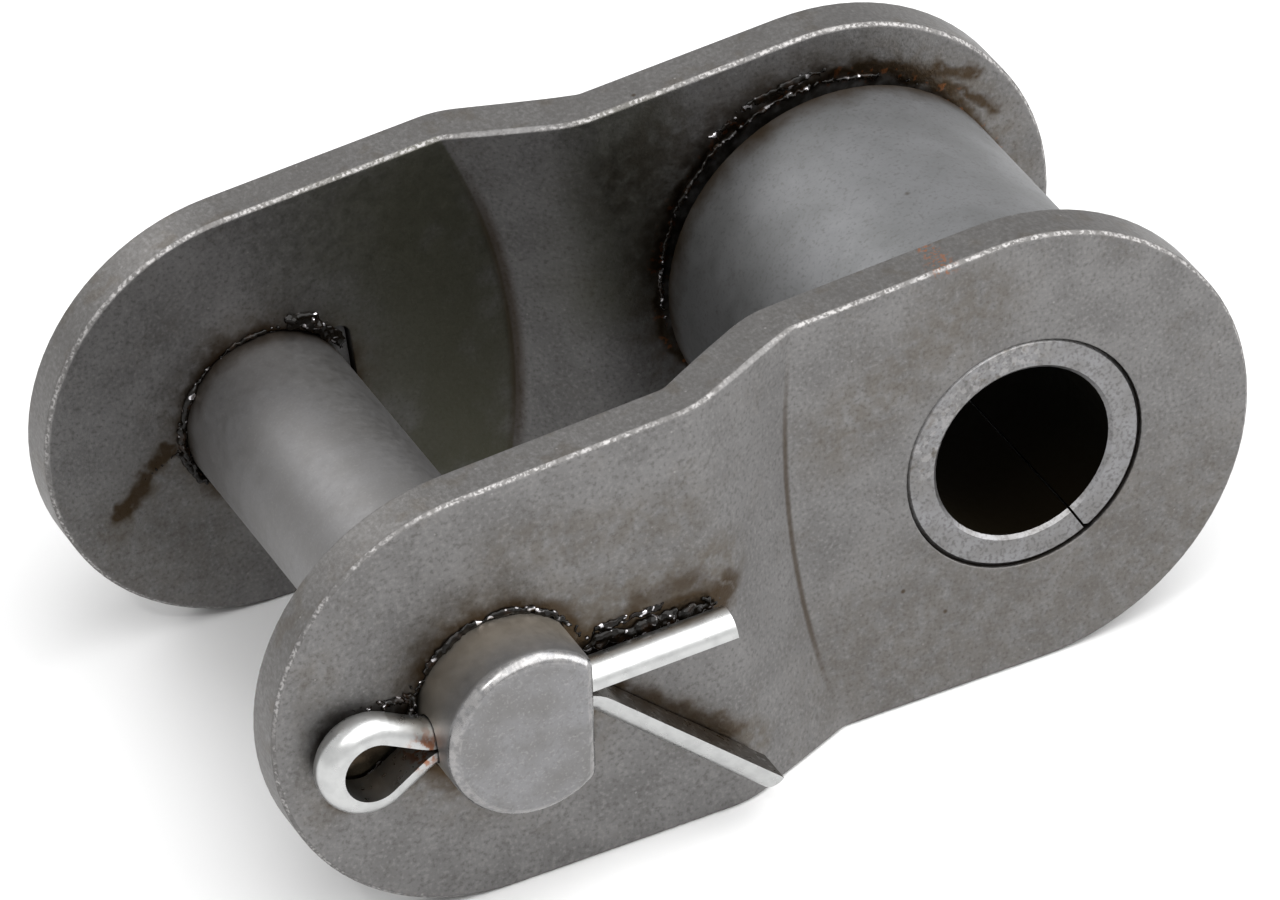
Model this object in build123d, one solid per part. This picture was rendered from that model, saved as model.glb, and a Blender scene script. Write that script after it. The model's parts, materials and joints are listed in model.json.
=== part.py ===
from build123d import *
import math
import os

# Single cranked (offset) link of a simplex roller chain, in millimetres.
# X runs along the pitch line, from the pin at -X to the bush at +X.
# Y runs along the pin and bush axes, with the split pin's side at -Y.
# The origin is on the bush axis, midway between the plates.
# The link stands on the straight lower edges of its two plates.

# Chain
pitch = 19.05
inner_width = 12.7
mating_clearance = 0.4

# Side plates
plate_thickness = 1.6
pin_end_height = 14.8
bush_end_height = 15.8
pin_end_setback = 0.3
edge_chamfer = 0.12

# Joggle of the side plates, placed from the bush axis
inner_crease_from_bush = 10.45
inner_crease_radius = 20.5
inner_bend_from_bush = 8.05
outer_crease_from_bush = 8.15
outer_crease_radius = 32.0
outer_bend_from_bush = 11.4
bend_round = 3.0
crease_round = 0.5

# Bush, curled from strip
bore_clearance = 0.125
bush_wall = 1.1
bush_recess = 0.06
bush_rim_chamfer = 0.16
bush_mouth_chamfer = 0.12
press_interference = 0.01
seam_angle = -64.0
seam_gap = 0.08
seam_corner = 0.3

# Roller
roller_diameter = 12.2
roller_clearance = 0.08
roller_end_play = 0.75
roller_shift = 0.22
roller_end_chamfer = 0.25

# Connecting pin, whose axis lies a little below the middle of the plates' ends
pin_diameter = 5.8
pin_drop = 0.2
pin_clearance = 0.06
tail_length = 2.65
tail_end_round = 0.45
tail_flat_depth = 0.86
tail_flat_turn = -6.0
tail_corner_round = 0.5
key_proud = 0.15
key_height = 4.3
key_corner = 0.4
key_recess = 0.3
head_diameter = 9.0
head_thickness = 1.3
head_chamfer = 0.35
head_gap = 0.05

# Split pin
split_pin_diameter = 1.4
split_pin_gap = 0.1
cross_hole_clearance = 0.1
eye_stand_off = 2.1
eye_inner_radius = 1.0
eye_neck_gap = 0.1
upper_leg_length = 5.36
lower_leg_bend_gap = 0.46
lower_leg_length = 8.1
lower_leg_angle = 45.0
leg_bend_radius = 1.6
leg_gap = 0.05

# Sizes that follow from the ones above
joggle_depth = plate_thickness + mating_clearance
narrow_face = inner_width / 2
wide_face = narrow_face + joggle_depth
narrow_outside = narrow_face + plate_thickness
wide_outside = wide_face + plate_thickness
pin_end_radius = pin_end_height / 2
bush_end_radius = bush_end_height / 2
pin_radius = pin_diameter / 2
bore_radius = pin_radius + bore_clearance
bush_radius = bore_radius + bush_wall
pin_x = -pitch
pin_z = -pin_drop
tip_x = pin_x - pin_end_setback
inner_crease_x = -inner_crease_from_bush
inner_bend_x = -inner_bend_from_bush
outer_crease_x = -outer_crease_from_bush
outer_bend_x = -outer_bend_from_bush
taper = math.degrees(math.asin((bush_end_radius - pin_end_radius) / -tip_x))
tail_flat_from_axis = pin_radius - tail_flat_depth
key_reach = pin_radius + key_proud
eye_reach = pin_radius + eye_stand_off
upper_leg_end = tail_flat_from_axis + upper_leg_length
lower_leg_bend = tail_flat_from_axis + lower_leg_bend_gap
cross_hole_y = -(wide_outside + split_pin_gap + split_pin_diameter / 2)
beyond = pitch + bush_end_height


def section_at(y, sketch):
    """A sketch drawn in X and Z, set at height y on the axes."""
    return Plane(origin=(0, y, 0), x_dir=(1, 0, 0), z_dir=(0, -1, 0)) * sketch


def cylinder_along_y(x, z, radius, y_low, y_high):
    """Cylinder about an axis along Y, through x and z."""
    return extrude(section_at(y_high, Pos(x, z) * Circle(radius)), amount=y_high - y_low)


def edges_at_y(shape, y):
    """Edges whose middle lies at height y."""
    return [edge for edge in shape.edges() if abs((edge @ 0.5).Y - y) < 0.01]


def plate_outline():
    """Two round ends joined by their straight outer tangents."""
    lean = math.radians(90 + taper)
    pin_top = (tip_x + pin_end_radius * math.cos(lean), pin_end_radius * math.sin(lean))
    pin_low = (pin_top[0], -pin_top[1])
    bush_top = (bush_end_radius * math.cos(lean), bush_end_radius * math.sin(lean))
    bush_low = (bush_top[0], -bush_top[1])
    top = Line(bush_top, pin_top)
    pin_end = ThreePointArc(pin_top, (tip_x - pin_end_radius, 0), pin_low)
    bottom = Line(pin_low, bush_low)
    bush_end = ThreePointArc(bush_low, (bush_end_radius, 0), bush_top)
    return make_face([top, pin_end, bottom, bush_end])


def area_to_crease(apex_x, radius, side_x):
    """Area from side_x to an arc that bulges away from it, with its apex on the pitch line."""
    reach = bush_end_height
    sagitta = radius - math.sqrt(radius**2 - reach**2)
    end_x = apex_x - math.copysign(sagitta, apex_x - side_x)
    crease = ThreePointArc((end_x, -reach), (apex_x, 0), (end_x, reach))
    upper = Line((end_x, reach), (side_x, reach))
    side = Line((side_x, reach), (side_x, -reach))
    lower = Line((side_x, -reach), (end_x, -reach))
    return make_face([crease, upper, side, lower])


def area_to_line(edge_x, side_x):
    """Area from side_x to a straight line at edge_x."""
    reach = bush_end_height
    line = Line((edge_x, -reach), (edge_x, reach))
    upper = Line((edge_x, reach), (side_x, reach))
    side = Line((side_x, reach), (side_x, -reach))
    lower = Line((side_x, -reach), (edge_x, -reach))
    return make_face([line, upper, side, lower])


def inside_relief():
    """Space for the mating inner plates, between a curved crease and a straight bend."""
    crease = area_to_crease(inner_crease_x, inner_crease_radius, -beyond)
    floor = section_at(-wide_face, crease)
    mouth = section_at(-narrow_face, area_to_line(inner_bend_x, -beyond))
    return loft([floor, mouth], ruled=True)


def outside_relief():
    """Space for the mating outer plates, between a straight bend and a curved crease."""
    crease = area_to_crease(outer_crease_x, outer_crease_radius, beyond)
    mouth = section_at(-wide_outside, area_to_line(outer_bend_x, beyond))
    floor = section_at(-narrow_outside, crease)
    return loft([mouth, floor], ruled=True)


def edges_crossing(plate, x, y):
    """Edges whose middle is over the pitch line, at x and height y."""
    return [edge for edge in edges_at_y(plate, y) if abs((edge @ 0.5).X - x) < 0.01]


def end_edges(plate):
    """Edges round the two ends, on both faces of the plate."""
    edges = []
    for y in (-wide_outside, -wide_face):
        edges += edges_crossing(plate, tip_x - pin_end_radius, y)
    for y in (-narrow_outside, -narrow_face):
        edges += edges_crossing(plate, bush_end_radius, y)
    return edges


def side_plate(pin_hole):
    """Pressed and joggled plate on the near side, with its two holes and broken rims."""
    plate = extrude(section_at(-narrow_face, plate_outline()), amount=wide_outside - narrow_face)
    plate = plate - inside_relief() - outside_relief()
    inner_crease = edges_crossing(plate, inner_crease_x, -wide_face)
    outer_crease = edges_crossing(plate, outer_crease_x, -narrow_outside)
    plate = fillet(inner_crease + outer_crease, crease_round)
    inner_bend = edges_crossing(plate, inner_bend_x, -narrow_face)
    outer_bend = edges_crossing(plate, outer_bend_x, -wide_outside)
    plate = fillet(inner_bend + outer_bend, bend_round)
    plate = chamfer(end_edges(plate), edge_chamfer)
    plate -= cylinder_along_y(0, 0, bush_radius - press_interference, -beyond, 0)
    plate -= extrude(section_at(0, Pos(pin_x, pin_z) * pin_hole), amount=beyond)
    return plate


def tail_section(grow):
    """Round section with one flat and broken corners, at the pin's tail, grown by a clearance."""
    radius = pin_radius + grow
    waste = Pos(tail_flat_from_axis + grow + radius, 0) * Rectangle(2 * radius, 2 * radius)
    flatted = Circle(radius) - waste
    return Rot(0, 0, tail_flat_turn) * fillet(flatted.vertices(), tail_corner_round)


def key_section(grow):
    """Round section with a square-cornered key, under the pin's head."""
    width = key_reach + grow
    key = Pos(width / 2, 0) * RectangleRounded(width, key_height + 2 * grow, key_corner)
    return Circle(pin_radius + grow) + key


def near_plate():
    """Plate on the split pin's side, whose hole has the tail's flat."""
    return side_plate(tail_section(pin_clearance))


def far_plate():
    """Plate on the head's side, whose hole is notched for the head's key."""
    return mirror(side_plate(key_section(pin_clearance)), about=Plane.XZ)


def seam_section():
    """Slit through the bush's wall, with one rolled strip end rounded off."""
    slit = Pos(bush_radius, 0) * Rectangle(bush_radius, seam_gap)
    wall = (bush_radius - seam_corner, 0)
    outside = (bush_radius + seam_corner, 0)
    above = (bush_radius + seam_corner, seam_gap / 2 + 2 * seam_corner)
    return Rot(0, 0, seam_angle) * (slit + make_face(Polyline(wall, outside, above, wall)))


def bush():
    """Bush curled from strip, with its seam left open by a hair."""
    half = narrow_outside - bush_recess
    body = cylinder_along_y(0, 0, bush_radius, -half, half)
    body = chamfer(body.edges().filter_by(GeomType.CIRCLE), bush_rim_chamfer)
    body -= cylinder_along_y(0, 0, bore_radius, -half, half)
    rims = body.edges().filter_by(GeomType.CIRCLE)
    mouths = [edge for edge in rims if edge.radius < bore_radius + 0.01]
    body = chamfer(mouths, bush_mouth_chamfer)
    return body - extrude(section_at(half, seam_section()), amount=2 * half)


def roller():
    """Loose roller on the bush, lying towards the near plate."""
    low = roller_end_play / 2 - narrow_face - roller_shift
    high = narrow_face - roller_end_play / 2 - roller_shift
    body = cylinder_along_y(0, 0, roller_diameter / 2, low, high)
    body = chamfer(body.edges().filter_by(GeomType.CIRCLE), roller_end_chamfer)
    return body - cylinder_along_y(0, 0, bush_radius + roller_clearance, low, high)


def pin_tail():
    """The pin's flattened tail, rounded at its end, from the near plate's inner face."""
    end = wide_outside + tail_length
    section = section_at(-wide_face, Pos(pin_x, pin_z) * tail_section(0))
    tail = extrude(section, amount=end - wide_face)
    return fillet(edges_at_y(tail, -end), tail_end_round)


def pin_head():
    """The pin's keyed seat in the far plate, and its round head outside."""
    seat = wide_outside + head_gap
    key = section_at(seat, Pos(pin_x, pin_z) * key_section(0))
    keyed = extrude(key, amount=seat - wide_face - key_recess)
    head = cylinder_along_y(pin_x, pin_z, head_diameter / 2, seat, seat + head_thickness)
    return keyed + chamfer(edges_at_y(head, seat + head_thickness), head_chamfer)


def pin():
    """Connecting pin, locked against turning at both ends, with a cross hole in its tail."""
    journal = cylinder_along_y(pin_x, pin_z, pin_radius, -wide_face, wide_outside)
    side = (pin_x - pin_diameter, cross_hole_y, pin_z)
    start = Plane(origin=side, x_dir=(0, 1, 0), z_dir=(1, 0, 0))
    hole_radius = split_pin_diameter / 2 + cross_hole_clearance
    hole = extrude(start * Circle(hole_radius), amount=2 * pin_diameter)
    return pin_tail() + journal + pin_head() - hole


def split_pin_path():
    """Middle of the wire's flat side, from the upper leg's end round the eye to the lower one's."""
    lift = leg_gap / 2
    neck = -pin_radius - eye_neck_gap
    lean = math.acos(eye_inner_radius / (neck + eye_reach))
    touch_x = eye_inner_radius * math.cos(lean) - eye_reach
    touch_z = lift + eye_inner_radius * math.sin(lean)
    turn = math.radians(lower_leg_angle)
    low_x = lower_leg_bend + lower_leg_length * math.cos(turn)
    low_z = -lift - lower_leg_length * math.sin(turn)
    upper_points = [(upper_leg_end, lift), (neck, lift), (touch_x, touch_z)]
    lower_points = [(touch_x, -touch_z), (neck, -lift), (lower_leg_bend, -lift), (low_x, low_z)]
    upper = FilletPolyline(*upper_points, radius=leg_bend_radius)
    eye = ThreePointArc((touch_x, touch_z), (-eye_reach - eye_inner_radius, 0), (touch_x, -touch_z))
    lower = FilletPolyline(*lower_points, radius=leg_bend_radius)
    return Pos(pin_x, pin_z) * (upper + eye + lower)


def split_pin():
    """Half-round wire doubled on itself, with an eye on one side and spread legs on the other."""
    radius = split_pin_diameter / 2
    half_round = Circle(radius) - Pos(0, radius) * Rectangle(4 * radius, 2 * radius)
    leg_end = (pin_x + upper_leg_end, cross_hole_y, pin_z + leg_gap / 2)
    section = Plane(origin=leg_end, x_dir=(0, 1, 0), z_dir=(-1, 0, 0)) * half_round
    return sweep(section, path=section_at(cross_hole_y, split_pin_path()))


def main():
    """Write each piece in its place, with the plates' lower edges level."""
    level = Rot(0, -taper, 0)
    pieces = {
        "near_plate": near_plate(),
        "far_plate": far_plate(),
        "bush": bush(),
        "roller": roller(),
        "pin": pin(),
        "split_pin": split_pin(),
    }
    os.makedirs("parts", exist_ok=True)
    for name, piece in pieces.items():
        export_step(level * piece, "parts/" + name + ".step")


main()
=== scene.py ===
import json
import math
import random

import bmesh
import bpy
from mathutils import Matrix, Vector, noise


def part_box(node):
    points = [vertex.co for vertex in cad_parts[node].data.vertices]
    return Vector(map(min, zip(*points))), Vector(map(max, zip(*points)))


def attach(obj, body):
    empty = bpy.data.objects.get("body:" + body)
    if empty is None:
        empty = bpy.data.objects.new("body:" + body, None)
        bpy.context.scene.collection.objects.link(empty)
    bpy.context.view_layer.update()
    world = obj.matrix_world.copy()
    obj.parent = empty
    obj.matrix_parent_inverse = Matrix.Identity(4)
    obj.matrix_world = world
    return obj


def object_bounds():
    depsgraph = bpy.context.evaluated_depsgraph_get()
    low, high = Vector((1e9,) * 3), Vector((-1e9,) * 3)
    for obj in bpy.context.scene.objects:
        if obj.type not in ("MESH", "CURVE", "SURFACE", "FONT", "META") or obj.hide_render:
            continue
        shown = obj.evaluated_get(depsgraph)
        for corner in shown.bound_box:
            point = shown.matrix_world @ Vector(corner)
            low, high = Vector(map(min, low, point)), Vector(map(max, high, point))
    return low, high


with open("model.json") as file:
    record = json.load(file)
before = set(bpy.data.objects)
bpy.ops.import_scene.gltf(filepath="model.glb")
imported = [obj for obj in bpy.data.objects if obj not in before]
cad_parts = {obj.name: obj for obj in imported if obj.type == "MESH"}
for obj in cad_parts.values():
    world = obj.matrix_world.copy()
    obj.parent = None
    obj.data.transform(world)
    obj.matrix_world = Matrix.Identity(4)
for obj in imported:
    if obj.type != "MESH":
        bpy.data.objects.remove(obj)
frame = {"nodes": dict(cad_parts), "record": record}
cad_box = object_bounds()

MM = 0.001

# Camera, at the photograph's angle: angles in degrees, distance and clipping in metres
CAMERA_AZIMUTH = -20.995
CAMERA_ELEVATION = 34.32
CAMERA_ROLL = 6.696
CAMERA_DISTANCE = 0.37832
CAMERA_AIM = Vector((-9.884, -0.270, -0.624)) * MM
CAMERA_LENS_MM = 335.96
SENSOR_MM = 36.0
CLIP_START, CLIP_END = 0.01, 10

# Studio
WORLD_AS_LIGHT = 0.5
WORLD_AS_SEEN = 1.0
FLOOR_HALF_WIDTH = 1.5
FLOOR_GREY = 0.9
FLOOR_ROUGHNESS = 0.9

# Places on the object, in millimetres. The plates' faces lie in x and z, one plate at each end of y.
PLATE_THICKNESS = 1.6
PIN_RADIUS = 2.9
PIN_LOW, PIN_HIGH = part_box("pin")
PIN_X, _, PIN_Z = (PIN_LOW + PIN_HIGH) / 2 / MM
PIN_CENTRE = (PIN_X, 0, PIN_Z)
BUSH_CENTRE = (0, 0, 0)
BUSH_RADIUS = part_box("bush")[1].x / MM
ROLLER_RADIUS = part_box("roller")[1].x / MM
ROLLER_FAR_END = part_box("roller")[1].y / MM
WIDE_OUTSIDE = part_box("far_plate")[1].y / MM
WIDE_FACE = WIDE_OUTSIDE - PLATE_THICKNESS
MOUNTS = {mount["name"]: mount for mount in frame["record"]["mounts"]}
NARROW_OUTSIDE = MOUNTS["far_outer_face"]["pos_m"][1] / MM
NARROW_FACE = NARROW_OUTSIDE - PLATE_THICKNESS

# The cranked plates' creases are arcs. A painted line of shade along them is plain up to one height from
# the level, and lost at another.
OUTER_CREASE_CENTRE = (23.842, 0, 0.616)
OUTER_CREASE_RADIUS = 32.0
INNER_CREASE_CENTRE = (-30.94, 0, -0.8)
INNER_CREASE_RADIUS = 20.5
CREASE_PLAIN, CREASE_LOST = 3.0, 7.4
CREASE_SHADE_STRENGTH = 0.7

# Grease beads: lumps strewn along a route and run together. Lengths are in millimetres, and a lump's
# reach and rise are shares of half the bead's width and of its height.
ROUTE_STEP = 0.12
LUMPS_A_STEP = 2
LUMP_REACH = (0.45, 1.0)
LUMP_RISE = (0.4, 1.1)
BEAD_TAPER = 0.4
BEAD_SWELL = 0.75
SWELL_RANGE = 0.7
SWELLS_A_MM = 0.9
GREASE_SUNK = 0.2
GREASE_GRAIN = 0.04
GREASE_SMOOTHING = 8

# Colours, linear
STEEL = (0.18, 0.176, 0.174)
STEEL_DARK = (0.152, 0.148, 0.146)
STEEL_LIGHT = (0.198, 0.194, 0.192)
GRAIN_LIGHT = (0.255, 0.248, 0.243)
# Also painted shade on the plates' chamfers
DARK_GRAIN_AND_SHADE = (0.105, 0.1, 0.096)
# Also painted highlights on the plates' chamfers and the pin's rounded end
WORN_STEEL_AND_HIGHLIGHT = (0.36, 0.35, 0.345)
PIN_STEEL = (0.25, 0.249, 0.255)
ROLLER_STEEL = (0.193, 0.195, 0.2)
ROLLER_DARK = (0.163, 0.165, 0.167)
ZINC = (0.52, 0.525, 0.52)
# Also painted shade on the far plate's inside
OLIVE_FILM_AND_SHADE = (0.08, 0.079, 0.052)
BROWN_FILM = (0.085, 0.067, 0.045)
# Also painted light on the pin's tail
TAIL_FILM_AND_LIGHT = (0.4, 0.35, 0.28)
# Also painted shade in corners, along the creases and at the roller's far end
BROWN_STAIN_AND_SHADE = (0.042, 0.026, 0.012)
RUST = (0.32, 0.11, 0.035)
# Also painted shade in corners, in the bush's bore and inside the split pin's eye
OIL_AND_SHADE_BLACK = (0.004, 0.0035, 0.002)
GREASE_THICK = (0.004, 0.003, 0.002)
GREASE_THIN = (0.014, 0.007, 0.0035)
# Painted glints on the grease
PAINTED_GLINT = (0.62, 0.6, 0.62)

# The colour sockets of a Mix node
MIX_UNDER, MIX_OVER, MIX_RESULT = 6, 7, 2


class Finish:
    """A material's nodes, built with short calls. Lengths are in millimetres, masks go from 0 to 1."""

    def __init__(self, name, colour):
        self.material = bpy.data.materials.new(name)
        self.material.use_nodes = True
        self.tree = self.material.node_tree
        self.shader = self.tree.nodes["Principled BSDF"]
        self.colour = colour
        self.normal = None
        place = self.add("ShaderNodeTexCoord").outputs["Object"]
        self.place = self.vector("SCALE", place, scale=1 / MM)
        self.flat_place = self.vector("MULTIPLY", self.place, (1, 0, 1))
        self.ragged_place = self.flat_place
        self.true_normal = self.add("ShaderNodeNewGeometry").outputs["True Normal"]
        lean = self.add("ShaderNodeSeparateXYZ")
        self.put(lean.inputs[0], self.true_normal)
        # 1 where the surface faces the split pin's side
        self.frontward = self.math("MULTIPLY", lean.outputs["Y"], -1)
        # 1 on the plates' faces and the pieces' ends, 0 on rims and round sides
        self.endward = self.math("ABSOLUTE", lean.outputs["Y"])
        self.upward = lean.outputs["Z"]

    def add(self, kind, **settings):
        node = self.tree.nodes.new(kind)
        for name, value in settings.items():
            setattr(node, name, value)
        return node

    def put(self, socket, value):
        """Links a socket to a node's output, or sets it to a value."""
        if isinstance(value, bpy.types.NodeSocket):
            self.tree.links.new(value, socket)
        else:
            socket.default_value = value

    def math(self, operation, a, b=0.0, clamp=False):
        node = self.add("ShaderNodeMath", operation=operation, use_clamp=clamp)
        self.put(node.inputs[0], a)
        self.put(node.inputs[1], b)
        return node.outputs[0]

    def vector(self, operation, a, b=None, scale=None):
        node = self.add("ShaderNodeVectorMath", operation=operation)
        self.put(node.inputs[0], a)
        if b is not None:
            self.put(node.inputs[1], b)
        if scale is not None:
            self.put(node.inputs["Scale"], scale)
        length_like = operation in ("LENGTH", "DISTANCE", "DOT_PRODUCT")
        return node.outputs["Value" if length_like else "Vector"]

    def part(self, axis):
        """One coordinate of the place on the object."""
        parts = self.add("ShaderNodeSeparateXYZ")
        self.put(parts.inputs[0], self.place)
        return parts.outputs[axis]

    def noise(self, size, detail, stretch=(1, 1, 1), shift=0.0, colour=False):
        """Noise with features of a size. Another shift gives an unlike piece of it."""
        stretched = self.vector("MULTIPLY", self.place, stretch)
        node = self.add("ShaderNodeTexNoise")
        self.put(node.inputs["Vector"], self.vector("ADD", stretched, (shift, shift, shift)))
        self.put(node.inputs["Scale"], 1 / size)
        self.put(node.inputs["Detail"], detail)
        return node.outputs["Color" if colour else 0]

    def ramp(self, value, low, high):
        """0 at low, rising smoothly to 1 at high. Low may be the larger of the two."""
        node = self.add("ShaderNodeMapRange", interpolation_type="SMOOTHSTEP")
        for name, number in (("Value", value), ("From Min", low), ("From Max", high)):
            self.put(node.inputs[name], number)
        return node.outputs["Result"]

    def band(self, value, rise, fall):
        """0 to 1 over the rise, and back to 0 over the fall."""
        return self.times(self.ramp(value, *rise), self.ramp(value, *reversed(fall)))

    def times(self, *factors):
        product = factors[0]
        for factor in factors[1:]:
            product = self.math("MULTIPLY", product, factor)
        return product

    def most(self, *masks):
        highest = masks[0]
        for mask in masks[1:]:
            highest = self.math("MAXIMUM", highest, mask)
        return highest

    def coat(self, colour, *masks, strength=1.0):
        """Lays a colour over the ones before it, where all the masks let it."""
        node = self.add("ShaderNodeMix", data_type="RGBA")
        under = self.colour if isinstance(self.colour, bpy.types.NodeSocket) else (*self.colour, 1)
        self.put(node.inputs["Factor"], self.times(*masks, strength))
        self.put(node.inputs[MIX_UNDER], under)
        self.put(node.inputs[MIX_OVER], (*colour, 1))
        self.colour = node.outputs[MIX_RESULT]

    def patches(self, size, detail, low, high, shift=0.0):
        """Cloudy patches: 1 where noise with features of a size is past high."""
        return self.ramp(self.noise(size, detail, shift=shift), low, high)

    def specks(self, spacing, size, share, shift=0.0):
        """Round specks, in a share of the cells of an irregular grid."""
        moved = self.vector("ADD", self.place, (shift, shift, shift))
        node = self.add("ShaderNodeTexVoronoi")
        self.put(node.inputs["Vector"], moved)
        self.put(node.inputs["Scale"], 1 / spacing)
        near = self.ramp(node.outputs["Distance"], size / spacing, 0.4 * size / spacing)
        cell = self.add("ShaderNodeSeparateColor")
        self.put(cell.inputs[0], node.outputs["Color"])
        return self.times(near, self.ramp(cell.outputs[0], 1 - share, 1 - share + 0.01))

    def fray(self, size, amount):
        """Makes the borders of the later streaks, spreads and rings wander."""
        wander = self.vector("SUBTRACT", self.noise(size, 3, colour=True), (0.5, 0.5, 0.5))
        self.ragged_place = self.vector("ADD", self.flat_place, self.vector("SCALE", wander, scale=amount))

    def streak(self, start, end, reach, core, strength=1.0):
        """A mark along the line from start to end (x, z), full within core of it and gone at reach."""
        start, end = Vector((start[0], 0, start[1])), Vector((end[0], 0, end[1]))
        run = end - start
        offset = self.vector("SUBTRACT", self.ragged_place, start)
        share = self.vector("DOT_PRODUCT", offset, run / run.length_squared)
        share = self.math("ADD", share, 0.0, clamp=True)
        foot = self.vector("SCALE", run, scale=share)
        return self.times(self.ramp(self.vector("DISTANCE", offset, foot), reach, core), strength)

    def spread(self, centre, inner, outer):
        """A mark round a centre on the faces, full up to inner and gone at outer."""
        return self.ramp(self.vector("DISTANCE", self.ragged_place, centre), outer, inner)

    def ring(self, centre, radius, width):
        """A mark along a circle on the faces, gone at a width from it."""
        gap = self.math("SUBTRACT", self.vector("DISTANCE", self.ragged_place, centre), radius)
        return self.ramp(self.math("ABSOLUTE", gap), width, 0.0)

    def crease(self, centre, radius, width):
        """A fine painted line of shade along a pressed crease, fading towards the plate's rims."""
        gap = self.math("SUBTRACT", self.vector("DISTANCE", self.flat_place, centre), radius)
        shade_line = self.ramp(self.math("ABSOLUTE", gap), 2 * width, 0.3 * width)
        fade = self.ramp(self.math("ABSOLUTE", self.part("Z")), CREASE_LOST, CREASE_PLAIN)
        patchy = self.patches(0.7, detail=2, low=0.0, high=0.4, shift=17)
        return self.times(shade_line, fade, patchy, CREASE_SHADE_STRENGTH)

    def ragged_depth(self, size, amount):
        """The place along the bush's axis, made to wander so that a band's border is ragged."""
        wander = self.math("MULTIPLY", self.noise(size, 3, shift=3), amount)
        return self.math("ADD", self.part("Y"), wander)

    def corners(self, distance):
        """1 deep in a corner between surfaces, 0 in the open: a mask that paints shade into corners."""
        node = self.add("ShaderNodeAmbientOcclusion", samples=8)
        self.put(node.inputs["Distance"], distance * MM)
        return self.math("SUBTRACT", 1.0, node.outputs["AO"])

    def rounded(self, radius):
        """Normals as if sharp edges were rounded off."""
        node = self.add("ShaderNodeBevel", samples=6)
        self.put(node.inputs["Radius"], radius * MM)
        return node.outputs["Normal"]

    def bump(self, height, depth, strength):
        """Adds relief to the normals so far."""
        node = self.add("ShaderNodeBump")
        self.put(node.inputs["Strength"], strength)
        self.put(node.inputs["Distance"], depth * MM)
        self.put(node.inputs["Height"], height)
        if self.normal is not None:
            self.put(node.inputs["Normal"], self.normal)
        self.normal = node.outputs["Normal"]

    def varied_roughness(self, low, rise, size):
        """Roughness from low to low + rise, in patches of a size."""
        return self.math("ADD", self.times(self.noise(size, 3), rise), low)

    def finish(self, roughness, metallic=1.0):
        self.put(self.shader.inputs["Base Color"], self.colour)
        self.put(self.shader.inputs["Roughness"], roughness)
        self.put(self.shader.inputs["Normal"], self.normal)
        self.put(self.shader.inputs["Metallic"], metallic)
        return self.material


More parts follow.
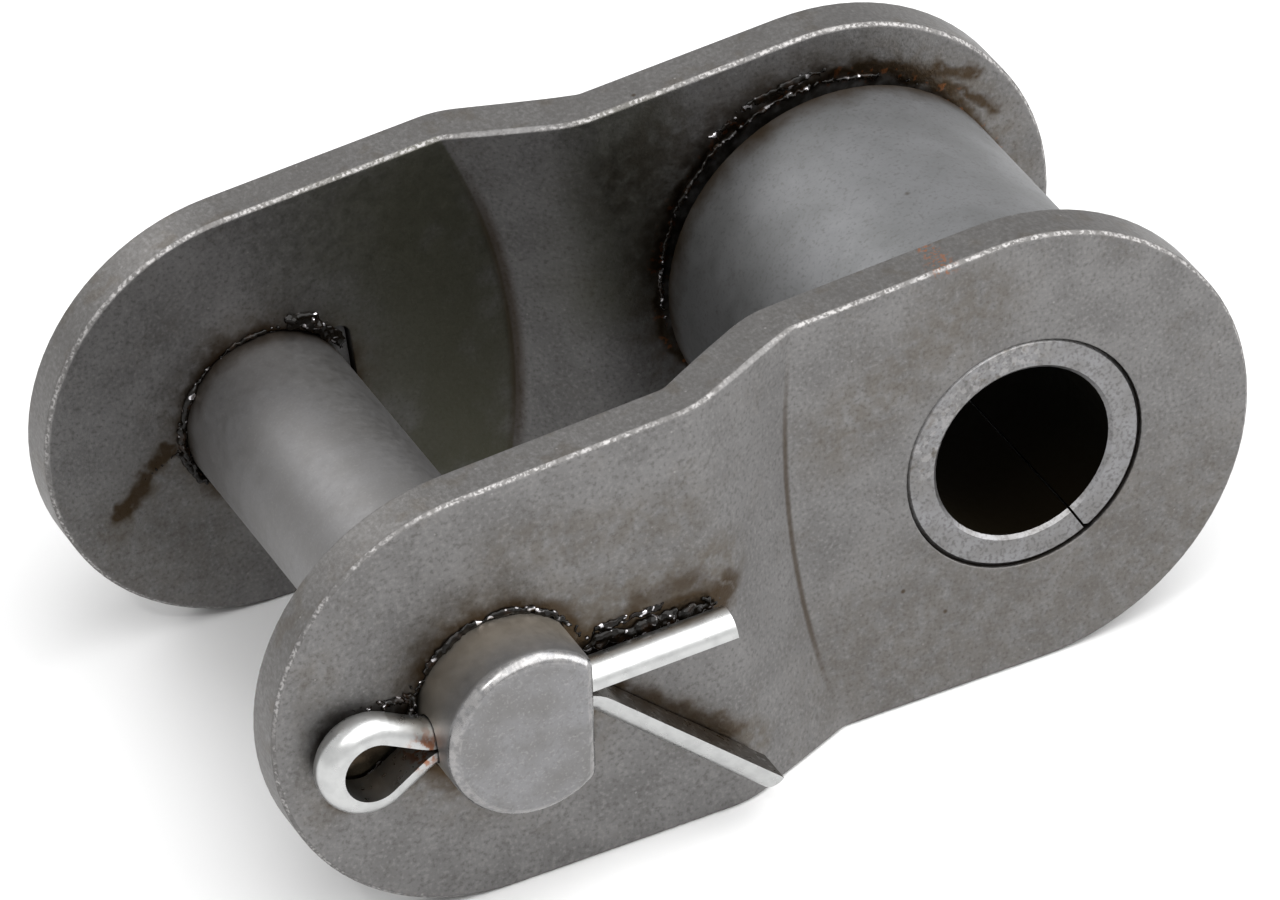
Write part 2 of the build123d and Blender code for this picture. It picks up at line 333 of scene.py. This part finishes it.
def plate_finish(name, find_marks):
    """Matte tumbled steel with pits, film, stains, painted shade in corners and along creases, a rough
    sheared rim, and worn edges that also carry a painted highlight.
    """
    f = Finish(name, STEEL_DARK)
    f.fray(0.9, 1.1)

    # Tumbled surface, with thin brown patches
    grain = f.noise(0.13, detail=2)
    f.coat(STEEL_LIGHT, f.patches(1.6, detail=4, low=0.25, high=0.75))
    f.coat(GRAIN_LIGHT, f.ramp(grain, 0.52, 0.72), strength=0.5)
    f.coat(DARK_GRAIN_AND_SHADE, f.ramp(grain, 0.48, 0.28), strength=0.6)
    clouds = f.patches(1.6, detail=5, low=0.52, high=0.7, shift=31)
    f.coat(BROWN_FILM, clouds, f.patches(0.25, detail=3, low=0.4, high=0.6), strength=0.15)

    # Sheared rim
    rim = f.ramp(f.endward, 0.45, 0.3)
    sheared = f.noise(0.12, detail=3, stretch=(1, 0.6, 1))
    f.coat(DARK_GRAIN_AND_SHADE, rim, f.ramp(sheared, 0.0, 0.75), strength=0.8)
    f.coat(BROWN_FILM, rim, f.patches(0.9, detail=3, low=0.52, high=0.7, shift=2), strength=0.3)

    # Pits and bright spots
    f.coat(BROWN_STAIN_AND_SHADE, f.specks(spacing=1.5, size=0.12, share=0.3), strength=0.8)
    f.coat(WORN_STEEL_AND_HIGHLIGHT, f.specks(spacing=0.5, size=0.05, share=0.2, shift=7), strength=0.5)

    # Marks, on the faces towards the split pin's side only, and painted shade in the corners, brown as
    # grime
    marks = find_marks(f)
    front = f.ramp(f.frontward, 0.55, 0.75)
    film = f.times(marks["film"], front, f.patches(0.45, detail=5, low=0.25, high=0.65, shift=11))
    stain = f.times(marks["stain"], front, f.patches(0.35, detail=3, low=0.1, high=0.45, shift=13))
    # Olive film, also painted shade on the far plate's inside
    f.coat(OLIVE_FILM_AND_SHADE, marks["olive_and_shade"], front, strength=0.85)
    f.coat(BROWN_FILM, film, strength=0.6)
    f.coat(BROWN_STAIN_AND_SHADE, stain, strength=0.9)
    # Painted shade: a dark line along the crease
    f.coat(BROWN_STAIN_AND_SHADE, marks["crease"], front)
    f.coat(RUST, marks["rust"])
    # Painted shade: corners darkened brown, from ambient occlusion
    f.coat(BROWN_STAIN_AND_SHADE, f.ramp(f.corners(0.6), 0.5, 0.95), strength=0.85)
    # Black oil, partly painted shade inside the split pin's eye
    f.coat(OIL_AND_SHADE_BLACK, marks["oil_and_shade"], front)

    # Chamfered edges, darkened as painted shade to dim their reflection, but for worn specks along their
    # middle that are also a painted highlight
    soft = f.rounded(0.1)
    edge = f.band(f.endward, (0.5, 0.62), (0.735, 0.765))
    f.coat(DARK_GRAIN_AND_SHADE, edge, strength=0.5)
    middle = f.ramp(f.vector("DOT_PRODUCT", soft, f.true_normal), 0.965, 1.0)
    worn_and_highlight = f.times(edge, middle, f.patches(0.11, detail=2, low=0.4, high=0.62, shift=5))
    f.coat(WORN_STEEL_AND_HIGHLIGHT, worn_and_highlight, f.patches(0.6, detail=3, low=0.33, high=0.55, shift=9))

    # Film and stains are smoother than bare steel, and the edges rougher
    roughness = f.varied_roughness(low=0.34, rise=0.22, size=0.4)
    roughness = f.math("SUBTRACT", roughness, f.times(f.most(film, stain), 0.14))
    roughness = f.math("ADD", roughness, f.times(edge, 0.08), clamp=True)
    f.normal = soft
    f.bump(f.times(rim, sheared), depth=0.02, strength=0.5)
    f.bump(f.noise(0.1, detail=3), depth=0.01, strength=0.9)
    f.bump(f.noise(1.1, detail=2), depth=0.02, strength=0.5)
    return f.finish(roughness)


def near_marks(f):
    """Marks on the near plate's outside, round the pin and the split pin and by the bush."""
    film = f.most(
        f.spread(PIN_CENTRE, PIN_RADIUS, PIN_RADIUS + 2.4),
        # Above the split pin's upper leg, and along its lower leg
        f.streak((-16.0, 1.3), (-11.4, 1.2), reach=1.6, core=0.4),
        f.streak((-15.2, -2.2), (-10.8, -5.9), reach=1.1, core=0.2),
        # Between the crease and the bush, above the pin, and at the wide end
        f.streak((-6.2, 3.0), (-1.0, 6.2), reach=2.4, core=0.3, strength=0.7),
        f.streak((-18.5, 4.4), (-12.5, 3.6), reach=1.8, core=0.2, strength=0.6),
        f.streak((-25.3, -2.5), (-25.0, 2.5), reach=1.2, core=0.2, strength=0.5),
        # Below the bush, where the plate is only made darker and browner towards its lower right
        f.streak((-5.0, -5.5), (6.0, -5.0), reach=5.5, core=1.0, strength=0.55),
    )
    stain = f.most(
        # Behind the upper leg, above it, and behind the lower leg
        f.streak((-16.1, 0.2), (-11.4, 0.1), reach=0.9, core=0.35),
        f.streak((-14.2, 0.9), (-12.3, 1.0), reach=0.75, core=0.1, strength=0.75),
        f.streak((-15.2, -2.0), (-11.6, -5.1), reach=0.6, core=0.1, strength=0.85),
        f.spread(PIN_CENTRE, PIN_RADIUS + 0.1, PIN_RADIUS + 0.9),
        # Behind the eye, dark brown that is partly painted shade inside the eye
        f.streak((-24.0, -1.9), (-22.0, -1.4), reach=1.5, core=1.0),
    )
    rust_patches = f.patches(0.15, detail=2, low=0.5, high=0.6, shift=21)
    return {
        "film": film,
        "olive_and_shade": 0.0,
        "stain": stain,
        # Oil inside the eye, partly painted shade there
        "oil_and_shade": f.streak((-23.9, -2.1), (-22.2, -1.7), reach=1.2, core=0.6, strength=0.85),
        "crease": f.crease(OUTER_CREASE_CENTRE, OUTER_CREASE_RADIUS, width=0.08),
        "rust": f.times(f.spread((-2.1, 0, 7.9), 0.1, 0.55), rust_patches, 0.6),
    }


def far_marks(f):
    """Marks on the far plate's inside, round the pin's foot and the roller's rim."""
    film = f.most(
        f.spread(PIN_CENTRE, PIN_RADIUS, PIN_RADIUS + 1.7),
        # The run of oil from the pin's foot
        f.streak((-22.6, -1.0), (-24.9, -3.4), reach=0.9, core=0.2),
        f.spread(BUSH_CENTRE, ROLLER_RADIUS + 0.2, ROLLER_RADIUS + 1.9),
        # Upper left of the roller, and the lower part of the fork, which is only made darker and browner
        # there
        f.streak((-6.8, 4.6), (-5.2, 6.2), reach=1.8, core=0.5, strength=0.8),
        f.times(f.spread((-23.0, 0, -4.5), 1.0, 5.5), 0.45),
        f.times(f.ring(BUSH_CENTRE, ROLLER_RADIUS + 0.2, 1.1), 0.9),
    )
    stain = f.most(
        f.ring(PIN_CENTRE, PIN_RADIUS, 0.7),
        f.streak((-22.6, -0.9), (-24.7, -2.9), reach=0.4, core=0.12),
        f.ring(BUSH_CENTRE, ROLLER_RADIUS, 0.4),
        # Two runs at the upper right of the roller
        f.streak((1.6, 6.2), (5.6, 4.4), reach=0.45, core=0.1),
        f.streak((3.6, 5.2), (6.3, 2.9), reach=0.3, core=0.05),
    )
    # Olive film on the pin's side of the crease, which also paints the shade there, and a thinner one on
    # the slope to the roller
    from_centre = f.vector("DISTANCE", f.flat_place, INNER_CREASE_CENTRE)
    pin_side = f.ramp(from_centre, INNER_CREASE_RADIUS, INNER_CREASE_RADIUS - 0.1)
    cloudy = f.patches(2.2, detail=4, low=0.1, high=0.55, shift=19)
    olive_and_shade = f.most(
        f.times(f.streak((-12.9, 5.0), (-12.0, -5.5), reach=7.5, core=0.5), pin_side, cloudy),
        f.times(f.streak((-6.6, 6.5), (-7.2, 1.0), reach=3.2, core=0.3), cloudy, 0.7),
    )
    rust_patches = f.patches(0.3, detail=2, low=0.58, high=0.66, shift=23)
    return {
        "film": film,
        "olive_and_shade": olive_and_shade,
        "stain": stain,
        "oil_and_shade": 0.0,
        "crease": f.crease(INNER_CREASE_CENTRE, INNER_CREASE_RADIUS, width=0.18),
        "rust": f.times(f.ring(BUSH_CENTRE, ROLLER_RADIUS, 0.5), rust_patches, 0.5),
    }


def roller_finish():
    """Smooth satin steel with a few dark spots, a painted band of shade at its far end and chipped rims."""
    f = Finish("roller_steel", ROLLER_DARK)
    f.coat(ROLLER_STEEL, f.patches(1.8, detail=4, low=0.3, high=0.7))
    f.coat(DARK_GRAIN_AND_SHADE, f.patches(0.12, detail=2, low=0.5, high=0.75), strength=0.45)
    f.coat(BROWN_STAIN_AND_SHADE, f.specks(spacing=1.7, size=0.16, share=0.4), strength=0.7)
    f.coat(DARK_GRAIN_AND_SHADE, f.specks(spacing=0.8, size=0.07, share=0.3, shift=9), strength=0.6)
    far_end_shade = f.ramp(f.ragged_depth(1.2, 1.6), ROLLER_FAR_END - 0.6, ROLLER_FAR_END + 0.75)
    # Painted shade: the band by the far plate darkened
    f.coat(BROWN_STAIN_AND_SHADE, far_end_shade, strength=0.9)
    rims = f.band(f.endward, (0.3, 0.5), (0.8, 0.9))
    f.coat(WORN_STEEL_AND_HIGHLIGHT, rims, f.patches(0.16, detail=2, low=0.52, high=0.62, shift=5))
    f.coat(RUST, f.specks(spacing=2.3, size=0.2, share=0.15, shift=4), rims)
    f.bump(f.noise(0.1, detail=2), depth=0.004, strength=0.5)
    f.bump(f.noise(1.6, detail=2), depth=0.015, strength=0.4)
    return f.finish(f.varied_roughness(low=0.48, rise=0.16, size=0.5))


def pin_finish():
    """Ground steel with fine marks round its axis, and painted shade, black as oil, where it meets the
    plates.
    """
    f = Finish("pin_steel", STEEL_LIGHT)
    f.coat(PIN_STEEL, f.patches(1.3, detail=4, low=0.3, high=0.7))
    f.coat(STEEL, f.patches(0.11, detail=2, low=0.5, high=0.7), strength=0.5)
    f.coat(WORN_STEEL_AND_HIGHLIGHT, f.patches(0.09, detail=2, low=0.55, high=0.72, shift=6), strength=0.4)
    f.coat(STEEL, f.ramp(f.endward, 0.2, 0.1), strength=0.6)

    # Pale film on the tail outside the near plate, also painting light on its side; stain at the far plate;
    # painted shade in the corners, black as oil
    depth = f.ragged_depth(0.8, 0.9)
    tail = f.band(depth, (-WIDE_FACE - 3.6, -WIDE_FACE - 1.6), (-WIDE_FACE - 0.6, -WIDE_FACE))
    foot = f.ramp(depth, WIDE_FACE - 0.6, WIDE_FACE + 0.5)
    # Pale film, partly painted light on the tail's side
    f.coat(TAIL_FILM_AND_LIGHT, tail, f.ramp(f.endward, 0.4, 0.1), strength=0.6)
    f.coat(BROWN_STAIN_AND_SHADE, foot, f.ramp(f.endward, 0.6, 0.3), strength=0.8)
    # Painted shade: black in corners, from ambient occlusion
    f.coat(OIL_AND_SHADE_BLACK, f.ramp(f.corners(0.5), 0.55, 0.95), strength=0.8)

    # The tail's end, and its rounded edge lightened as wear and as a painted highlight
    end = f.ramp(f.frontward, 0.3, 0.6)
    f.coat(STEEL_DARK, f.specks(spacing=0.8, size=0.05, share=0.35), end, strength=0.6)
    rounded_end = f.band(f.endward, (0.12, 0.4), (0.9, 0.995))
    bright = f.patches(0.25, detail=3, low=0.4, high=0.6, shift=7)
    f.coat(WORN_STEEL_AND_HIGHLIGHT, rounded_end, bright, strength=0.6)

    roughness = f.varied_roughness(low=0.42, rise=0.2, size=0.3)
    roughness = f.math("SUBTRACT", roughness, f.times(rounded_end, 0.27), clamp=True)
    f.bump(f.noise(0.12, detail=2, stretch=(0.15, 1, 0.15)), depth=0.003, strength=0.5)
    f.bump(f.noise(0.12, detail=2), depth=0.004, strength=0.5)
    return f.finish(roughness)


def bush_finish():
    """Satin curled strip with a chipped, browned upper left and a bore painted black as shade and oil."""
    f = Finish("bush_steel", STEEL_LIGHT)
    f.fray(0.4, 0.25)
    f.coat(PIN_STEEL, f.patches(0.7, detail=4, low=0.3, high=0.7))
    f.coat(DARK_GRAIN_AND_SHADE, f.patches(0.12, detail=2, low=0.45, high=0.7), strength=0.6)
    upper_left = f.streak((-3.2, 1.2), (0.2, 3.8), reach=1.6, core=0.3)
    f.coat(WORN_STEEL_AND_HIGHLIGHT, upper_left, f.patches(0.2, detail=2, low=0.5, high=0.6, shift=8), strength=0.5)
    f.coat(BROWN_FILM, upper_left, f.patches(0.3, detail=3, low=0.55, high=0.7, shift=2), strength=0.5)

    # Stain at the joint with the plate, and painted shade, black as oil, on the wall of the bore, a little
    # browner towards its bottom
    radius = f.vector("LENGTH", f.flat_place)
    f.coat(BROWN_STAIN_AND_SHADE, f.ramp(radius, BUSH_RADIUS - 0.06, BUSH_RADIUS), strength=0.6)
    wall = f.ramp(f.endward, 0.4, 0.2)
    oily_bore_shade = f.times(f.ramp(radius, BUSH_RADIUS, BUSH_RADIUS - 0.1), wall)
    # Painted shade in the bore
    f.coat(OIL_AND_SHADE_BLACK, oily_bore_shade)
    f.coat(BROWN_STAIN_AND_SHADE, oily_bore_shade, f.ramp(f.part("Z"), -0.5, -2.8), strength=0.1)

    roughness = f.varied_roughness(low=0.3, rise=0.2, size=0.3)
    f.bump(f.noise(0.1, detail=3), depth=0.006, strength=0.6)
    return f.finish(f.math("ADD", roughness, f.times(oily_bore_shade, 0.5)))


def split_pin_finish():
    """Bright plated wire with draw marks, rust where the eye meets the pin, a stained lower leg."""
    f = Finish("split_pin_steel", ZINC)
    f.coat(PIN_STEEL, f.patches(0.5, detail=3, low=0.35, high=0.7))
    f.coat(ZINC, strength=0.75)
    neck = f.spread((PIN_X - PIN_RADIUS - 0.4, 0, PIN_Z), 0.3, 0.9)
    f.coat(RUST, neck, f.patches(0.25, detail=3, low=0.45, high=0.6, shift=6), strength=0.85)
    low_down = f.ramp(f.part("Z"), PIN_Z - 0.5, PIN_Z - 0.8)
    on_legs = f.ramp(f.part("X"), PIN_X, PIN_X + PIN_RADIUS)
    flat_side = f.times(f.ramp(f.upward, 0.35, 0.6), low_down, on_legs)
    f.coat(BROWN_STAIN_AND_SHADE, flat_side, f.patches(0.3, detail=3, low=0.1, high=0.5, shift=9), strength=0.9)
    # Painted shade: black in corners, from ambient occlusion, as oil
    f.coat(OIL_AND_SHADE_BLACK, f.ramp(f.corners(0.4), 0.5, 0.9), strength=0.85)
    f.bump(f.noise(0.08, detail=2, stretch=(0.2, 1, 1)), depth=0.003, strength=0.6)
    return f.finish(f.varied_roughness(low=0.2, rise=0.2, size=0.3))


def grease_finish():
    """Wet brown-black grease, thinner and redder in places, with painted glints on its upper sides."""
    f = Finish("grease", GREASE_THICK)
    f.coat(GREASE_THIN, f.patches(0.4, detail=3, low=0.5, high=0.75))
    small = f.ramp(f.noise(0.2, detail=1, stretch=(0.7, 1, 1), shift=6), 0.6, 0.66)
    here_and_there = f.patches(1.4, detail=2, low=0.42, high=0.54, shift=8)
    painted_glints = f.times(small, f.ramp(f.upward, -0.3, 0.1), here_and_there)
    # Painted highlights: bright metallic glints on the grease's upper sides
    f.coat(PAINTED_GLINT, painted_glints)
    dull = f.patches(0.35, detail=2, low=0.4, high=0.6, shift=4)
    f.bump(f.noise(0.3, detail=2), depth=0.02, strength=0.6)
    f.shader.inputs["Specular IOR Level"].default_value = 0.2
    return f.finish(f.math("ADD", f.times(dull, 0.1), 0.1), metallic=painted_glints)


def arc(centre, radius, start, stop):
    """Points (x, z) round a centre, from one angle to another in degrees, a step apart."""
    turn = math.radians(stop - start)
    count = max(2, int(abs(turn) * radius / ROUTE_STEP))
    angles = [math.radians(start) + turn * i / count for i in range(count + 1)]
    return [(centre[0] + radius * math.cos(a), centre[1] + radius * math.sin(a)) for a in angles]


def line(start, stop):
    """Points (x, z) from one place to another, a step apart."""
    count = max(2, int(math.dist(start, stop) / ROUTE_STEP))
    return [tuple(a + (b - a) * i / count for a, b in zip(start, stop)) for i in range(count + 1)]


def add_lump(mesh, spot, reach, rise, face):
    """A round lump on the face at y = face. What lies past the face is pressed almost flat."""
    shape = Matrix.Diagonal((*(Vector((reach, rise, reach)) * MM), 1))
    placed = Matrix.Translation(spot * MM) @ shape
    lump = bmesh.ops.create_icosphere(mesh, subdivisions=2, radius=1, matrix=placed)
    for vertex in lump["verts"]:
        sunk = max(0.0, vertex.co.y - face * MM)
        vertex.co.y -= (1 - GREASE_SUNK) * sunk


def melt(bead):
    """Runs the lumps of a bead together into one smooth skin."""
    merged = bead.modifiers.new("merged", "REMESH")
    merged.mode = "VOXEL"
    merged.voxel_size = GREASE_GRAIN * MM
    merged.use_smooth_shade = True
    calmed = bead.modifiers.new("calmed", "SMOOTH")
    calmed.iterations = GREASE_SMOOTHING
    skin = bpy.data.meshes.new_from_object(bead.evaluated_get(bpy.context.evaluated_depsgraph_get()))
    bead.modifiers.clear()
    bead.data = skin


def grease_bead(name, route, face, width, height, seed):
    """Lumps of grease along a route, on the side of a plate that looks to -Y and lies at y = face."""
    draw = random.Random(seed)
    mesh = bmesh.new()
    for i, (x, z) in enumerate(route):
        middle = math.sin(math.pi * (i + 0.5) / len(route)) ** BEAD_TAPER
        wave = noise.noise(Vector((x * SWELLS_A_MM, z * SWELLS_A_MM, seed)))
        swell = BEAD_SWELL + SWELL_RANGE * wave
        for _ in range(LUMPS_A_STEP):
            reach = 0.5 * width * middle * swell * draw.uniform(*LUMP_REACH)
            rise = height * middle * swell * draw.uniform(*LUMP_RISE)
            slack = max(0.0, 0.5 * width - reach)
            spot = Vector((x + draw.uniform(-slack, slack), face, z + draw.uniform(-slack, slack)))
            add_lump(mesh, spot, reach, rise, face)
    data = bpy.data.meshes.new(name)
    mesh.to_mesh(data)
    mesh.free()
    bead = bpy.data.objects.new(name, data)
    bpy.context.collection.objects.link(bead)
    melt(bead)
    return bead


def make_grease():
    """Grease squeezed out round the pin, beside the split pin and round the roller's far rim."""
    pin, bush = (PIN_X, PIN_Z), (0, 0)
    rim = PIN_RADIUS + 0.15
    near, far_pin, far_roller = -WIDE_OUTSIDE, WIDE_FACE, NARROW_FACE
    # Name, route, face, width, height and seed
    beads = [
        ("near_pin_grease", arc(pin, rim - 0.05, 205, 12), near, 0.4, 0.18, 1),
        ("upper_leg_grease", line((-16.3, 0.05), (-11.7, 0.0)), near, 0.75, 0.32, 2),
        ("upper_leg_smear", line((-16.0, 0.5), (-13.4, 0.55)), near, 0.4, 0.14, 3),
        ("eye_grease", line((-24.3, 0.55), (-22.2, 0.45)), near, 0.42, 0.3, 4),
        ("neck_grease", line((-22.1, 0.6), (-22.0, -2.4)), near, 0.5, 0.55, 5),
        ("eye_fill", line((-24.0, -2.3), (-22.5, -1.8)), near, 1.0, 0.16, 6),
        ("far_pin_grease", arc(pin, rim - 0.06, 215, 50), far_pin, 0.3, 0.16, 8),
        ("far_key_grease", line((-18.2, 2.4), (-16.9, 2.0)), far_pin, 0.8, 0.4, 9),
        ("far_key_fill", line((-17.2, 1.9), (-16.1, 0.8)), far_pin, 0.7, 0.2, 13),
        ("far_pin_side", arc(pin, rim, 220, 168), far_pin, 0.45, 0.3, 14),
        ("far_pin_branch", line((-22.3, -1.0), (-21.6, -2.6)), far_pin, 0.35, 0.2, 15),
        ("far_pin_streak", line((-22.0, -0.95), (-23.6, -1.7)), far_pin, 0.3, 0.1, 10),
        ("far_roller_grease", arc(bush, ROLLER_RADIUS - 0.1, 205, 45), far_roller, 0.28, 0.2, 11),
        ("far_roller_lumps", arc(bush, ROLLER_RADIUS + 0.3, 126, 84), far_roller, 0.5, 0.18, 12),
    ]
    material = grease_finish()
    for name, route, face, width, height, seed in beads:
        bead = grease_bead(name, route, face, width, height, seed)
        bead.data.materials.append(material)
        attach(bead, "link")


def dress_nodes():
    """Gives each CAD node its finish."""
    finishes = {
        "near_plate": plate_finish("near_plate_steel", near_marks),
        "far_plate": plate_finish("far_plate_steel", far_marks),
        "bush": bush_finish(),
        "roller": roller_finish(),
        "pin": pin_finish(),
        "split_pin": split_pin_finish(),
    }
    for name, material in finishes.items():
        materials = frame["nodes"][name].data.materials
        materials.clear()
        materials.append(material)


def look_from(azimuth, elevation):
    """Unit vector from the object towards a camera or lamp; azimuth 0 stands at -Y."""
    a, e = math.radians(azimuth), math.radians(elevation)
    return Vector((math.sin(a) * math.cos(e), -math.cos(a) * math.cos(e), math.sin(e)))


def aimed(back, distance):
    """Placement at a distance from the object's middle, looking at it."""
    facing = (-back).to_track_quat("-Z", "Y").to_matrix().to_4x4()
    return Matrix.Translation(CAMERA_AIM + back * distance) @ facing


def make_camera():
    data = bpy.data.cameras.new("camera")
    data.lens = CAMERA_LENS_MM
    data.sensor_width = SENSOR_MM
    data.clip_start = CLIP_START
    data.clip_end = CLIP_END
    camera = bpy.data.objects.new("camera", data)
    bpy.context.collection.objects.link(camera)
    roll = Matrix.Rotation(math.radians(-CAMERA_ROLL), 4, "Z")
    camera.matrix_world = aimed(look_from(CAMERA_AZIMUTH, CAMERA_ELEVATION), CAMERA_DISTANCE) @ roll
    bpy.context.scene.camera = camera


def softbox(name, azimuth, elevation, distance, size, power):
    """A rectangular lamp that looks at the object: distance and size in metres, power in watts."""
    data = bpy.data.lights.new(name, "AREA")
    data.shape = "RECTANGLE"
    data.size, data.size_y = size
    data.energy = power
    lamp = bpy.data.objects.new(name, data)
    bpy.context.collection.objects.link(lamp)
    lamp.matrix_world = aimed(look_from(azimuth, elevation), distance)


def seen_directly(tree):
    """1 for the rays that see the surroundings themselves, 0 for the light that they give."""
    path = tree.nodes.new("ShaderNodeLightPath")
    seen = path.outputs["Is Camera Ray"]
    for name in ("Is Glossy Ray", "Is Transmission Ray"):
        either = tree.nodes.new("ShaderNodeMath")
        either.operation = "MAXIMUM"
        tree.links.new(seen, either.inputs[0])
        tree.links.new(path.outputs[name], either.inputs[1])
        seen = either.outputs[0]
    return seen


def make_world():
    """White surroundings, dimmer as a source of light."""
    world = bpy.data.worlds.new("studio")
    bpy.context.scene.world = world
    world.use_nodes = True
    tree = world.node_tree
    background = tree.nodes["Background"]
    background.inputs["Color"].default_value = (1, 1, 1, 1)
    strength = tree.nodes.new("ShaderNodeMapRange")
    strength.inputs["To Min"].default_value = WORLD_AS_LIGHT
    strength.inputs["To Max"].default_value = WORLD_AS_SEEN
    tree.links.new(seen_directly(tree), strength.inputs["Value"])
    tree.links.new(strength.outputs[0], background.inputs["Strength"])


def make_floor():
    """Plain pale floor under the link."""
    low, half = cad_box[0].z, FLOOR_HALF_WIDTH
    mesh = bpy.data.meshes.new("floor")
    corners = [(-half, -half, low), (half, -half, low), (half, half, low), (-half, half, low)]
    mesh.from_pydata(corners, [], [(0, 1, 2, 3)])
    floor = bpy.data.objects.new("floor", mesh)
    bpy.context.collection.objects.link(floor)
    material = bpy.data.materials.new("floor")
    material.use_nodes = True
    shader = material.node_tree.nodes["Principled BSDF"]
    shader.inputs["Base Color"].default_value = (FLOOR_GREY, FLOOR_GREY, FLOOR_GREY, 1)
    shader.inputs["Roughness"].default_value = FLOOR_ROUGHNESS
    mesh.materials.append(material)


make_camera()
dress_nodes()
make_grease()
make_world()
make_floor()
softbox("front_softbox", azimuth=32, elevation=58, distance=0.75, size=(1.2, 0.8), power=8)
softbox("side_softbox", azimuth=75, elevation=12, distance=0.8, size=(0.5, 0.5), power=2.5)
softbox("glint_lamp", azimuth=-45, elevation=50, distance=0.8, size=(0.07, 0.04), power=0.6)
softbox("back_softbox", azimuth=-155, elevation=42, distance=0.8, size=(0.6, 0.35), power=1.5)
bpy.context.scene.view_settings.view_transform = "Standard"
